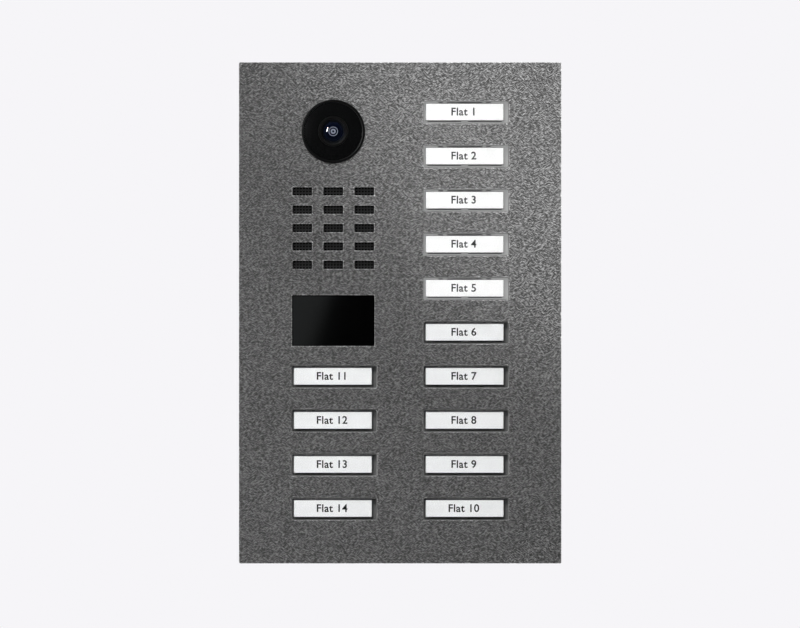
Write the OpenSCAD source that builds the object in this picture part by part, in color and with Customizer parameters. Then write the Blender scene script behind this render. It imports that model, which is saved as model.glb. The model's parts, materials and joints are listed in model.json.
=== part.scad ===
// Door intercom panel: a surface-mounted audio and video door station with
// fourteen illuminated call buttons in two columns.
// Millimetres. The wall is the plane y = 0, the station faces -Y, +Z is up,
// and the origin is the middle of the four wall screws on the wall plane.

/* [Station] */
// Width of the front panel
panel_w = 230; // [190:1:300]
// Height of the front panel
panel_h = 357.5; // [296:0.5:440]
// Thickness of the front panel
panel_t = 3; // [2:0.5:4]
// Radius of the front panel's corners
panel_corner_r = 1; // [0.5:0.5:6]
// Depth from the wall to the panel's front face
station_depth = 45; // [37:1:60]

/* [Mounting frame] */
// Distance that the panel overhangs the frame on each side
frame_inset = 1.5; // [0.5:0.5:4]
// Thickness of the folded sheet
frame_wall = 1.5; // [1:0.25:2]
// Width of the lip behind the panel
front_lip = 7; // [6:0.5:9]
// Width of the lip that lies on the wall
rear_lip = 24; // [20:1:30]
// Outer radius of the frame's folded corners
frame_corner_r = 3; // [2:0.5:6]
// Thickness of the gasket between the panel and the frame
gasket_t = 1; // [0.5:0.25:2]
// Width of the gasket
gasket_w = 4.5; // [3:0.5:5]
// Radius of the four wall screw holes
wall_hole_r = 2.75; // [2:0.25:3.5]
// Distance from the panel's edges to the wall screw holes
wall_hole_inset = 19; // [16:1:24]
// Distance of the hooks and locking tabs from the middle
bracket_x = 60; // [40:1:80]

/* [Call buttons] */
// Number of call buttons in the right-hand column
right_count = 10; // [8:1:10]
// Number of call buttons in the left-hand column
left_count = 4; // [2:1:4]
// Distance of each button column from the middle
button_column_x = 47; // [44:0.5:52]
// Height from the panel's top edge to the first button
top_margin = 35.65; // [30:0.5:45]
// Height from the last button to the panel's bottom edge
bottom_margin = 38.95; // [32:0.5:45]
// Width of the clear cap
cap_w = 60.4; // [48:0.2:74]
// Height of the clear cap
cap_h = 15.6; // [13:0.2:19]
// Distance that the cap stands out of the panel
cap_proud = 0.8; // [0.2:0.1:2]
// Thickness of clear plastic in front of the name card
cap_face_t = 2; // [1:0.1:3]
// Clearance round the cap in the panel
cap_gap = 0.3; // [0.2:0.05:0.6]
// Width of the name card
card_w = 55.4; // [40:0.2:56]
// Height of the name card
card_h = 11.8; // [8:0.2:12]
// Thickness of the name card
card_t = 0.3; // [0.2:0.1:0.5]
// Sideways shift of the name card in the cap
card_shift_x = -1; // [-1.5:0.1:1.5]
// Upward shift of the name card in the cap
card_shift_z = 0.2; // [-0.4:0.1:0.4]
// Travel of a call button
button_travel = 1.2; // [0.6:0.1:1.4]

/* [Camera] */
// Outer radius of the camera bezel
camera_r = 22.7; // [19:0.1:28]
// Radius of the lens barrel's front ring
lens_ring_r = 10.7; // [8.5:0.1:12.6]

/* [Speaker grille] */
// Horizontal offset of the camera, grille and sensor window
audio_x = -47.7; // [-52:0.1:-44]
// Width of one grille slot
slot_w = 14.2; // [11:0.1:17]
// Height of one grille slot
slot_h = 6; // [4:0.1:8]
// Horizontal distance between the slots
slot_pitch_x = 22.1; // [18:0.1:22.4]
// Vertical distance between the slots
slot_pitch_z = 13.1; // [10:0.1:13.2]
// Distance between the holes of the mesh
mesh_pitch = 2.18; // [1.8:0.01:3]
// Radius of a hole in the mesh
mesh_hole_r = 0.6; // [0.4:0.05:0.75]

/* [Sensor window] */
// Width of the dark window
window_w = 58.9; // [49:0.1:60]
// Height of the dark window
window_h = 36.3; // [30:0.1:44]

/* [Electronics] */
// Thickness of the circuit boards
board_t = 1.6; // [1:0.2:2]
// Height of the network jack above its board
jack_h = 13.4; // [11:0.1:14]
// Distance of the network jack from the wall
jack_wall_gap = 3; // [2:0.5:6]
// Number of poles in one terminal block
terminal_poles = 4; // [3:1:4]
// Distance that the tamper plunger springs out when the station leaves the wall
tamper_travel = 2; // [1:0.5:3]

/* [Hidden] */
eps = 0.01;
cut = 1;
corner_steps = 5;
round_fn = 64;
small_fn = 32;
thread_gap = 0.05;

// Levels along Y, from the front to the wall
front_y = -station_depth;
rear_y = front_y + panel_t;
frame_y = rear_y + gasket_t;
frame_w = panel_w - 2 * frame_inset;
frame_h = panel_h - 2 * frame_inset;
lip_edge_z = frame_h / 2 - frame_wall - front_lip;

// Call button rows
row_pitch = (panel_h - top_margin - bottom_margin) / (right_count - 1);
button_count = right_count + left_count;
function row_z(row) = panel_h / 2 - top_margin - row * row_pitch;
function is_right(i) = i < right_count;
function button_x(i) = is_right(i) ? button_column_x : -button_column_x;
function button_z(i) = row_z(is_right(i) ? i : i - left_count);
function two_digits(n) = str(n < 10 ? "0" : "", n);

// Left-hand devices share the height above the left buttons
slot_columns = 3;
slot_rows = 5;
grille_w = (slot_columns - 1) * slot_pitch_x + slot_w;
grille_h = (slot_rows - 1) * slot_pitch_z + slot_h;
left_top_z = row_z(right_count - left_count) + cap_h / 2;
free_h = panel_h / 2 - left_top_z - 2 * camera_r - grille_h - window_h;
gap_shares = [0.349, 0.223, 0.244, 0.184];
camera_z = panel_h / 2 - gap_shares[0] * free_h - camera_r;
grille_z = camera_z - camera_r - gap_shares[1] * free_h - grille_h / 2;
window_z = grille_z - grille_h / 2 - gap_shares[2] * free_h - window_h / 2;

// Button stack behind the panel
cap_flange = 1.5;
cap_flange_t = 1.2;
cap_corner_r = 1;
cap_front_y = front_y - cap_proud;
cap_flange_y = rear_y + 0.2;
cap_rear_y = cap_flange_y + cap_flange_t;
pocket_y = cap_front_y + cap_face_t;
pocket_gap = 0.2;
tray_plate_t = 1.2;
tray_plate_y = cap_rear_y + tray_plate_t;
latch_w = 25;
latch_side_w = 3.2;
latch_depth = 0.9;
housing_wall = 1.8;
housing_clear = 0.3;
housing_w = cap_w + 2 * (cap_flange + housing_clear + housing_wall);
housing_h = cap_h + 2 * (cap_flange + housing_clear + housing_wall);
housing_d = 13;
housing_floor_t = 5;
housing_y = rear_y + housing_d;
housing_floor_y = housing_y - housing_floor_t;
pin_x = cap_w / 2 - 8.2;
pin_r = 1.5;
pin_clear = 0.2;
led_x = 12;
led_hole_r = 2.2;
switch_size = 6.2;
switch_h = 4.3;
switch_bore_r = 1.85;
stem_r = 1.6;
stem_overlap = 1.3;
switch_bore_d = stem_overlap + button_travel + 0.3;
button_board_y = housing_y + board_t;
button_stud_x = housing_w / 2 + 2.6;
button_board_w = 2 * (button_stud_x + 2.2);
button_board_edge = 13;

// Camera stack
camera_hole_r = camera_r - 1.7;
bezel_h = 1.8;
bezel_wall = 1.4;
window_seat_r = camera_hole_r - 0.5;
dome_rise = 0.6;
dome_t = 1.4;
lens_groove_r = lens_ring_r - 1.3;
lens_groove_d = 0.5;
glass_r = lens_ring_r - 2.1;
barrel_front_y = front_y - bezel_h - dome_rise - 0.3;
barrel_rear_y = front_y + 17.5;
lens_edge_y = barrel_front_y + 0.6;
lens_seat_y = lens_edge_y + 0.8;
camera_board_size = 30;
camera_housing_r = camera_r + 2.3;
camera_housing_wall = 1.8;
camera_housing_y = rear_y + 22;
ear_r = 3.8;
ear_t = 3;
ear_reach = camera_housing_r + 3.4;

// Speaker stack
mesh_t = 0.5;
mesh_edge = 2;
speaker_y = rear_y + mesh_t + 0.3;
speaker_flange = grille_w + 2.4;
speaker_flange_t = 1.5;
speaker_r = 28.5;
speaker_neck_r = 17;
speaker_neck_y = speaker_y + 7.5;
speaker_ring_t = 1.2;
magnet_r = 15.5;
magnet_y = speaker_neck_y + speaker_ring_t;
magnet_t = 4.8;
speaker_stud_x = max(33, grille_w / 2 + 3.6);
speaker_stud_z = 14;
mic_x = slot_pitch_x + 1.4;
mic_z = -2 * slot_pitch_z + 1.2;
mic_r = 3.9;

// Sensor stack
window_gap = 0.3;
window_recess = 0.2;
window_flange = 2.5;
window_flange_t = 1.5;
reader_y = rear_y + 9;
post_x = 37;
post_r = 2.2;
post_neck_r = 1.9;

// Main board, which stands off from the wall by the network jack
main_rear_y = -(jack_wall_gap + jack_h);
main_y = main_rear_y - board_t;
main_half_w = 39.5;
main_top_z = grille_z + 33;
main_bottom_z = window_z - 25;
upper_post_z = grille_z + 24;
terminal_pitch = 5;
terminal_h = 10;
terminal_d = 8.5;
terminal_count = 3;
jack_w = 16;
jack_l = 18;
cover_w = 66;
cover_h = 62;
cover_d = 9;
cover_t = 1.2;
cover_z = grille_z - 6;
tamper_x = -31;
tamper_z = 21;
tamper_size = 9;
tamper_body_h = 5 + tamper_travel;
tamper_bore_r = 2.1;
tamper_rod_r = 1.9;

// Fasteners
stud_r = 1.5;
stud_hole_r = 1.7;
nut_across_r = 3.1;
nut_t = 2.4;
nut_proud = 0.8;
bracket_t = 1.5;
bracket_w = 18;
hook_leg = 10;
hook_catch = 5;
tab_t = 3;
tab_reach = 16;
lock_hole_r = 2;
lock_screw_r = 1.95;
lock_head_r = 3.6;
lock_head_h = 1.3;
lock_y = rear_y + 9;
drain_y = -8;
tab_z = -frame_h / 2 + gasket_w + 0.5;

fixed_nodes = [
  "front_panel", "mounting_frame", "frame_gasket", "weld_studs", "stud_nuts",
  "panel_brackets", "locking_screws",
  "camera_bezel", "camera_window", "lens_barrel", "front_lens", "camera_board", "camera_housing",
  "grille_mesh", "speaker_basket", "speaker_cone", "speaker_magnet", "microphone",
  "sensor_window", "motion_sensor", "reader_board",
  "button_housings", "left_button_board", "right_button_board", "call_switches",
  "main_board", "terminal_blocks", "network_jack", "electronics_cover", "ribbon_cables",
  "tamper_switch", "tamper_plunger"
];
function cap_name(i) = str("button_cap_", two_digits(i + 1));
function tray_name(i) = str("button_tray_", two_digits(i + 1));

// ---- Shapes that repeat ----

// Points along an arc from angle a0 to a1
function arc(cx, cy, r, a0, a1) =
  [for (k = [0:corner_steps]) let (a = a0 + (a1 - a0) * k / corner_steps) [cx + r * cos(a), cy + r * sin(a)]];

// A rectangle with round corners, centred on the origin
function rounded_outline(w, h, r) = concat(
  arc(w / 2 - r, h / 2 - r, r, 0, 90),
  arc(-w / 2 + r, h / 2 - r, r, 90, 180),
  arc(-w / 2 + r, -h / 2 + r, r, 180, 270),
  arc(w / 2 - r, -h / 2 + r, r, 270, 360));

// Moves its children to a place on the panel
module at(x, z) translate([x, 0, z]) children();

// A flat plate parallel to the wall, between two levels
module slab(w, h, y0, y1, r = 0)
  translate([0, y1, 0]) rotate([90, 0, 0]) linear_extrude(y1 - y0)
    if (r > 0) polygon(rounded_outline(w, h, r));
    else square([w, h], center = true);

// A round rod square to the wall, between two levels
module rod(r, y0, y1, fn = small_fn)
  translate([0, y1, 0]) rotate([90, 0, 0]) cylinder(r = r, h = y1 - y0, $fn = fn);

// A round rod on the axis of a locking screw, between two heights
module upright(r, z0, z1, fn = small_fn)
  translate([0, lock_y, z0]) cylinder(r = r, h = z1 - z0, $fn = fn);

// A turned piece on an axis square to the wall, from points [radius, y]
module turned(points)
  rotate([90, 0, 0]) rotate_extrude($fn = 2 * round_fn) polygon([for (p = points) [p[0], -p[1]]]);

// A profile of [y, z] points extruded sideways
module side_profile(points, w)
  translate([-w / 2, 0, 0]) rotate([90, 0, 90]) linear_extrude(w) polygon(points);

// One copy on each side of the middle
module both_sides(x) for (s = [-1, 1]) translate([s * x, 0, 0]) children();

// One copy at each corner of a rectangle
module four_corners(x, z) for (sx = [-1, 1], sz = [-1, 1]) at(sx * x, sz * z) children();

// One copy at each grille slot
module each_slot()
  for (c = [0:slot_columns - 1], r = [0:slot_rows - 1])
    at((c - (slot_columns - 1) / 2) * slot_pitch_x, (r - (slot_rows - 1) / 2) * slot_pitch_z) children();

// One copy at each call button
module each_button() for (i = [0:button_count - 1]) at(button_x(i), button_z(i)) children();

// One copy at each stud of the two button boards
module each_board_stud(side) {
  first = side > 0 ? 1 : right_count - left_count + 1;
  for (k = [first:2:right_count - 1], s = [-1, 1])
    at(side * button_column_x + s * button_stud_x, row_z(k - 0.5)) children();
}

// One copy at each ear of the camera housing
module each_ear() four_corners(ear_reach * sin(45), ear_reach * cos(45)) children();

// One copy at each stud of the speaker
module each_speaker_stud() four_corners(speaker_stud_x, speaker_stud_z) children();

// One copy at each hole of the camera board
module each_board_hole() four_corners(camera_board_size / 2 - 3, camera_board_size / 2 - 3) children();

// One copy at each post of the main board
module each_post(z) at(audio_x, z) both_sides(post_x) children();

// ---- Front panel and mounting frame ----

module front_panel() color("dimgray") difference() {
  slab(panel_w, panel_h, front_y, rear_y, panel_corner_r);
  at(audio_x, camera_z) rod(camera_hole_r, front_y - cut, rear_y + cut, round_fn);
  at(audio_x, grille_z) each_slot() slab(slot_w, slot_h, front_y - cut, rear_y + cut);
  at(audio_x, window_z) slab(window_w, window_h, front_y - cut, rear_y + cut);
  each_button()
    slab(cap_w + 2 * cap_gap, cap_h + 2 * cap_gap, front_y - cut, rear_y + cut, cap_corner_r + cap_gap);
}

module mounting_frame() color("gray") difference() {
  slab(frame_w, frame_h, frame_y, 0, frame_corner_r);
  slab(frame_w - 2 * frame_wall, frame_h - 2 * frame_wall, frame_y + frame_wall, -frame_wall,
    frame_corner_r - frame_wall / 2);
  slab(frame_w - 2 * (frame_wall + front_lip), 2 * lip_edge_z, frame_y - cut, frame_y + frame_wall + cut);
  slab(frame_w - 2 * (frame_wall + rear_lip), frame_h - 2 * (frame_wall + rear_lip),
    -frame_wall - cut, cut, frame_corner_r);
  four_corners(panel_w / 2 - wall_hole_inset, panel_h / 2 - wall_hole_inset)
    rod(wall_hole_r, -frame_wall - cut, cut);
  both_sides(bracket_x) {
    at(0, tab_z + front_lip / 2)
      slab(bracket_w + 3, front_lip + gasket_w, frame_y - cut, frame_y + frame_wall + cut);
    upright(lock_hole_r + 0.3, -frame_h / 2 - cut, -frame_h / 2 + frame_wall + cut);
    translate([0, drain_y, -frame_h / 2]) cube([12, 5, 2 * frame_wall + cut], center = true);
  }
}

module frame_gasket() color("black") difference() {
  slab(frame_w, frame_h, rear_y, frame_y, frame_corner_r);
  slab(frame_w - 2 * gasket_w, frame_h - 2 * gasket_w, rear_y - cut, frame_y + cut, frame_corner_r / 2);
}

// Threaded studs welded to the back of the panel
module plain_stud(end_y) rod(stud_r, rear_y, end_y);

// A long post with a seat for the reader board, or without one, and a seat for the main board
module board_post(neck_y) {
  rod(post_r, rear_y, neck_y);
  rod(post_neck_r, neck_y - eps, main_y);
  rod(stud_r, main_y - eps, main_rear_y + nut_t + nut_proud);
}

module weld_studs() color("silver") {
  end_y = button_board_y + nut_t + nut_proud;
  for (side = [-1, 1]) each_board_stud(side) plain_stud(end_y);
  at(audio_x, camera_z) each_ear()
    plain_stud(rear_y + ear_t + nut_t + nut_proud);
  at(audio_x, grille_z) each_speaker_stud()
    plain_stud(speaker_y + speaker_flange_t + nut_t + nut_proud);
  each_post(upper_post_z) board_post(main_y - 2);
  each_post(window_z) board_post(reader_y);
}

module stud_nut(y) difference() {
  rod(nut_across_r, y, y + nut_t, 6);
  rod(stud_r + thread_gap, y - cut, y + nut_t + cut);
}

module stud_nuts() color("silver") {
  for (side = [-1, 1]) each_board_stud(side) stud_nut(button_board_y);
  at(audio_x, camera_z) each_ear() stud_nut(rear_y + ear_t);
  at(audio_x, grille_z) each_speaker_stud() stud_nut(speaker_y + speaker_flange_t);
  each_post(upper_post_z) stud_nut(main_rear_y);
  each_post(window_z) stud_nut(main_rear_y);
}

// Hooks that catch behind the frame's top lip, and tabs that take the locking screws
module hanging_hook() {
  catch_y = frame_y + frame_wall + 0.3;
  top_z = lip_edge_z - 1;
  side_profile([
    [rear_y, top_z - hook_leg], [rear_y + bracket_t, top_z - hook_leg],
    [rear_y + bracket_t, top_z - bracket_t], [catch_y + bracket_t, top_z - bracket_t],
    [catch_y + bracket_t, lip_edge_z + hook_catch], [catch_y, lip_edge_z + hook_catch],
    [catch_y, top_z], [rear_y, top_z]
  ], bracket_w);
}

module locking_tab() difference() {
  side_profile([
    [rear_y, tab_z], [rear_y + tab_reach, tab_z], [rear_y + tab_reach, tab_z + tab_t],
    [rear_y + bracket_t, tab_z + tab_t], [rear_y + bracket_t, tab_z + hook_leg], [rear_y, tab_z + hook_leg]
  ], bracket_w);
  upright(lock_hole_r, tab_z - cut, tab_z + tab_t + cut);
}

module panel_brackets() color("silver") both_sides(bracket_x) {
  hanging_hook();
  locking_tab();
}

module locking_screws() color("silver") both_sides(bracket_x) difference() {
  union() {
    upright(lock_head_r, -frame_h / 2 - lock_head_h, -frame_h / 2);
    upright(lock_screw_r, -frame_h / 2 - eps, tab_z + tab_t + 0.5);
  }
  upright(1.5, -frame_h / 2 - lock_head_h - cut, -frame_h / 2 - lock_head_h + 1, 6);
}

// ---- Camera ----

module camera_bezel() color("black") at(audio_x, camera_z) turned([
  [window_seat_r - 1.1, rear_y + 5], [camera_hole_r - 0.2, rear_y + 5], [camera_hole_r - 0.2, front_y],
  [camera_r, front_y], [camera_r, front_y - bezel_h + 0.7], [camera_r - 0.25, front_y - bezel_h + 0.2],
  [camera_r - 0.8, front_y - bezel_h], [window_seat_r + 0.1, front_y - bezel_h],
  [window_seat_r + 0.1, front_y - bezel_h + bezel_wall], [window_seat_r - 1.1, front_y - bezel_h + bezel_wall]
]);

// Height of the dark dome over its rim, at a share of its width
function dome_y(share) = front_y - bezel_h - dome_rise * (1 - share * share);

module camera_window() color("black") at(audio_x, camera_z) {
  inner_r = lens_ring_r + 0.1;
  span = window_seat_r - inner_r;
  steps = 8;
  turned(concat(
    [for (k = [0:steps]) [inner_r + span * k / steps, dome_y(k / steps)]],
    [for (k = [steps:-1:0]) [inner_r + span * k / steps, dome_y(k / steps) + dome_t]]));
}

module lens_barrel() color("black") at(audio_x, camera_z) turned([
  [glass_r + 0.05, barrel_front_y + lens_groove_d], [lens_groove_r, barrel_front_y + lens_groove_d],
  [lens_groove_r, barrel_front_y], [lens_ring_r - 0.4, barrel_front_y], [lens_ring_r, barrel_front_y + 0.4],
  [lens_ring_r, front_y + 2], [lens_ring_r - 2, front_y + 2], [lens_ring_r - 2, barrel_rear_y],
  [4.5, barrel_rear_y], [4.5, front_y + 6], [glass_r - 1.5, front_y + 1], [glass_r - 1.5, lens_seat_y],
  [glass_r + 0.05, lens_seat_y]
]);

// Drop of a sphere of radius R at the distance r from its axis
function sag(R, r) = R - sqrt(R * R - r * r);

module front_lens() color("midnightblue") at(audio_x, camera_z) {
  front_R = 20;
  rear_R = 14;
  steps = 8;
  rear_edge_r = glass_r - 1.6;
  front_apex_y = lens_edge_y - sag(front_R, glass_r);
  rear_apex_y = lens_seat_y - sag(rear_R, rear_edge_r);
  turned(concat(
    [for (k = [0:steps]) let (r = glass_r * k / steps) [r, front_apex_y + sag(front_R, r)]],
    [[glass_r, lens_seat_y]],
    [for (k = [steps:-1:0]) let (r = rear_edge_r * k / steps) [r, rear_apex_y + sag(rear_R, r)]]));
}

module camera_board() color("darkgreen") at(audio_x, camera_z) difference() {
  slab(camera_board_size, camera_board_size, barrel_rear_y, barrel_rear_y + board_t, 1.5);
  each_board_hole()
    rod(1.1, barrel_rear_y - cut, barrel_rear_y + board_t + cut);
}

module camera_housing() color("black") at(audio_x, camera_z) {
  inner_r = camera_housing_r - camera_housing_wall;
  floor_y = camera_housing_y - camera_housing_wall;
  difference() {
    union() {
      turned([
        [camera_hole_r, rear_y], [camera_housing_r, rear_y], [camera_housing_r, camera_housing_y],
        [0, camera_housing_y], [0, floor_y], [inner_r, floor_y], [inner_r, rear_y + 4],
        [camera_hole_r, rear_y + 4]
      ]);
      each_ear() rod(ear_r, rear_y, rear_y + ear_t);
    }
    each_ear() rod(stud_hole_r, rear_y - cut, rear_y + ear_t + cut);
    rod(camera_hole_r, rear_y - cut, rear_y + 4 + cut, round_fn);
    at(0, -13) slab(18, 4, floor_y - cut, camera_housing_y + cut);
  }
  each_board_hole()
    difference() {
      rod(2.2, barrel_rear_y + board_t, floor_y + eps);
      rod(0.9, barrel_rear_y + board_t - cut, floor_y - cut);
    }
}

// ---- Speaker and microphone ----

// Perforated sheet, with holes only where a slot shows it
module grille_mesh() color("black") at(audio_x, grille_z) {
  columns = floor(slot_w / mesh_pitch);
  translate([0, rear_y + mesh_t, 0]) rotate([90, 0, 0]) linear_extrude(mesh_t) difference() {
    square([grille_w + 2 * mesh_edge, grille_h + 2 * mesh_edge], center = true);
    for (c = [0:slot_columns - 1], r = [0:slot_rows - 1], i = [0:columns - 1], j = [-1:1])
      translate([
        (c - (slot_columns - 1) / 2) * slot_pitch_x + (i - (columns - 1) / 2) * mesh_pitch,
        (r - (slot_rows - 1) / 2) * slot_pitch_z + j * mesh_pitch
      ]) circle(r = mesh_hole_r, $fn = 16);
  }
}

module speaker_basket() color("dimgray") at(audio_x, grille_z) difference() {
  union() {
    slab(speaker_flange, speaker_flange, speaker_y, speaker_y + speaker_flange_t, 4);
    slab(2 * (speaker_stud_x + 3), 2 * (speaker_stud_z + 3.5), speaker_y, speaker_y + speaker_flange_t, 3);
    turned([
      [speaker_r - 1.2, speaker_y + 0.5], [speaker_r, speaker_y + 0.5], [speaker_r, speaker_y + 2.5],
      [speaker_neck_r, speaker_neck_y], [speaker_neck_r, speaker_neck_y + speaker_ring_t],
      [8, speaker_neck_y + speaker_ring_t], [8, speaker_neck_y], [speaker_neck_r - 1.2, speaker_neck_y],
      [speaker_r - 1.2, speaker_y + 2.2]
    ]);
  }
  rod(speaker_r - 1.2, speaker_y - cut, speaker_y + 2.2, round_fn);
  each_speaker_stud() rod(stud_hole_r, speaker_y - cut, speaker_y + speaker_flange_t + cut);
  at(mic_x, mic_z) rod(mic_r + 0.1, speaker_y - cut, speaker_y + speaker_flange_t + cut);
  for (a = [45:90:315]) rotate([0, a, 0]) translate([21.5, speaker_y + 5, 0]) cube([6, 4, 16], center = true);
}

module speaker_cone() color("black") at(audio_x, grille_z) {
  edge_r = speaker_r - 1.3;
  roll_r = 1.6;
  voice_r = 8.5;
  paper = 0.5;
  edge_y = speaker_y + 1.4;
  steps = 8;
  roll = [for (k = [0:steps]) let (a = 180 * k / steps)
    [edge_r - 1 - roll_r + roll_r * cos(a), edge_y - roll_r * sin(a) * 0.6]];
  cone = [[voice_r, edge_y + 4.4], [0, edge_y + 2.6]];
  front = concat([[edge_r, edge_y]], roll, cone);
  turned(concat(front, [for (k = [len(front) - 1:-1:0]) [front[k][0], front[k][1] + paper]]));
}

module speaker_magnet() color("silver") at(audio_x, grille_z) turned([
  [0, magnet_y], [magnet_r - 0.6, magnet_y], [magnet_r, magnet_y + 0.6],
  [magnet_r, magnet_y + magnet_t - 0.8], [magnet_r - 0.8, magnet_y + magnet_t],
  [3, magnet_y + magnet_t], [3, magnet_y + magnet_t - 1.5],
  [0, magnet_y + magnet_t - 1.5]
]);

module microphone() color("black") at(audio_x + mic_x, grille_z + mic_z) difference() {
  rod(mic_r, speaker_y, speaker_y + 5);
  rod(1, speaker_y - cut, speaker_y + 1.5);
}

// ---- Sensor window ----

module sensor_window() color("black") at(audio_x, window_z) {
  slab(window_w - 2 * window_gap, window_h - 2 * window_gap, front_y + window_recess, rear_y + eps);
  slab(window_w + 2 * window_flange, window_h + 2 * window_flange, rear_y, rear_y + window_flange_t, 2);
}

module motion_sensor() color("silver") at(audio_x, window_z) {
  rod(4.6, reader_y - 4, reader_y);
  rod(5.2, reader_y - 0.6, reader_y);
  rod(2.2, reader_y - 4.6, reader_y - 4 + eps);
}

module reader_board() color("darkgreen") at(audio_x, window_z) difference() {
  union() {
    slab(window_w + 2 * window_flange, window_h + 1.6, reader_y, reader_y + board_t, 2);
    slab(2 * (post_x + post_r + 0.6), 9, reader_y, reader_y + board_t, 2);
  }
  both_sides(post_x) rod(post_neck_r + 0.1, reader_y - cut, reader_y + board_t + cut);
}

// ---- Call buttons ----

// Recess in the back of the cap for the card and the tray, with notches for the tray's latches
module cap_pocket(grow) at(card_shift_x, card_shift_z) {
  w = card_w + 2 * grow;
  h = card_h + 2 * grow;
  slab(w, h, pocket_y, cap_rear_y + cut, 0.6);
  at(0, h / 2 + latch_depth / 2 - 0.3)
    slab(latch_w, latch_depth + 0.6, pocket_y + 0.6, cap_rear_y + cut);
  both_sides(latch_w / 2 + 3 + latch_side_w / 2) at(0, h / 2 + latch_depth / 2 - 0.3)
    slab(latch_side_w, latch_depth + 0.6, pocket_y + 0.6, cap_rear_y + cut);
}

module button_cap(i) color("white", 0.35) at(button_x(i), button_z(i)) difference() {
  union() {
    slab(cap_w, cap_h, cap_front_y, cap_rear_y, cap_corner_r);
    slab(cap_w + 2 * cap_flange, cap_h + 2 * cap_flange, cap_flange_y, cap_rear_y, cap_corner_r);
  }
  cap_pocket(pocket_gap);
}

// White light guide behind the card, with a stem for the switch and two guide pins
module button_tray(i) color("white") at(button_x(i), button_z(i)) {
  at(card_shift_x, card_shift_z) slab(card_w, card_h, pocket_y + card_t + 0.1, cap_rear_y + eps, 0.5);
  slab(cap_w, cap_h, cap_rear_y, tray_plate_y, cap_corner_r);
  rod(stem_r + 1, tray_plate_y - eps, housing_y - switch_h - button_travel - 0.6);
  rod(stem_r, tray_plate_y, housing_y - switch_h + stem_overlap);
  both_sides(pin_x) rod(pin_r, tray_plate_y - eps, housing_y - button_travel - 0.8);
}

module button_housings() color("black") each_button() difference() {
  slab(housing_w, housing_h, rear_y, housing_y, 1.5);
  slab(housing_w - 2 * housing_wall, housing_h - 2 * housing_wall, rear_y - cut, housing_floor_y, 1);
  slab(switch_size + 0.6, switch_size + 0.6, housing_floor_y - cut, housing_y + cut);
  both_sides(pin_x) rod(pin_r + pin_clear, housing_floor_y - cut, housing_y + cut);
  both_sides(led_x) rod(led_hole_r, housing_floor_y - cut, housing_y + cut);
}

module button_board(side) {
  first = side > 0 ? 0 : right_count - left_count;
  top_z = row_z(first) + button_board_edge;
  bottom_z = row_z(right_count - 1) - button_board_edge;
  difference() {
    at(side * button_column_x, (top_z + bottom_z) / 2)
      slab(button_board_w, top_z - bottom_z, housing_y, button_board_y, 2);
    each_board_stud(side) rod(stud_hole_r, housing_y - cut, button_board_y + cut);
  }
}

module left_button_board() color("darkgreen") button_board(-1);
module right_button_board() color("darkgreen") button_board(1);

module call_switches() color("black") each_button() difference() {
  slab(switch_size, switch_size, housing_y - switch_h, housing_y, 0.5);
  rod(switch_bore_r, housing_y - switch_h - cut, housing_y - switch_h + switch_bore_d);
}

// ---- Main board and what stands on it ----

module main_board() color("darkgreen") difference() {
  at(audio_x, (main_top_z + main_bottom_z) / 2)
    slab(2 * main_half_w, main_top_z - main_bottom_z, main_y, main_rear_y, 2);
  each_post(upper_post_z) rod(stud_hole_r, main_y - cut, main_rear_y + cut);
  each_post(window_z) rod(stud_hole_r, main_y - cut, main_rear_y + cut);
}

module terminal_blocks() color("limegreen") {
  block_w = terminal_poles * terminal_pitch;
  z0 = main_bottom_z + 0.5;
  for (b = [0:terminal_count - 1])
    translate([audio_x - main_half_w + 0.5 + b * (block_w + 0.2), main_rear_y, z0]) difference() {
      cube([block_w, terminal_h, terminal_d]);
      for (p = [0:terminal_poles - 1]) {
        translate([(p + 0.5) * terminal_pitch, terminal_h * 0.38, -cut])
          cylinder(r = 1.3, h = 5 + cut, $fn = small_fn);
        translate([(p + 0.5) * terminal_pitch, terminal_h + cut, terminal_d * 0.55]) rotate([90, 0, 0])
          cylinder(r = 1.7, h = 2.5 + cut, $fn = small_fn);
      }
    }
}

module network_jack() color("silver")
  translate([audio_x + main_half_w - 1 - jack_w, main_rear_y, main_bottom_z - 1]) difference() {
    cube([jack_w, jack_h, jack_l]);
    translate([2, 3, -cut]) cube([jack_w - 4, jack_h - 5.4, 12 + cut]);
    translate([5, 1.2, -cut]) cube([jack_w - 10, 2.2, 12 + cut]);
  }

module electronics_cover() color("black") at(audio_x, cover_z) difference() {
  slab(cover_w, cover_h, main_rear_y, main_rear_y + cover_d, 3);
  slab(cover_w - 2 * cover_t, cover_h - 2 * cover_t, main_rear_y - cut, main_rear_y + cover_d - cover_t, 2);
  for (k = [-3:3]) at(0, 14 + k * 4)
    slab(34, 1.6, main_rear_y + cover_d - 2 * cover_t, main_rear_y + cover_d + cut, 0.7);
}

// A flat cable between two levels, as a strip on a smooth curve from p0 to p1
function ease(t) = t * t * (3 - 2 * t);
function strip(p0, p1, t, steps) = let (line = [for (k = [0:steps]) let (share = k / steps)
    [p0[0] + (p1[0] - p0[0]) * ease(share), p0[1] + (p1[1] - p0[1]) * share]])
  concat(line, [for (k = [steps:-1:0]) [line[k][0] + t, line[k][1]]]);

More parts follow.
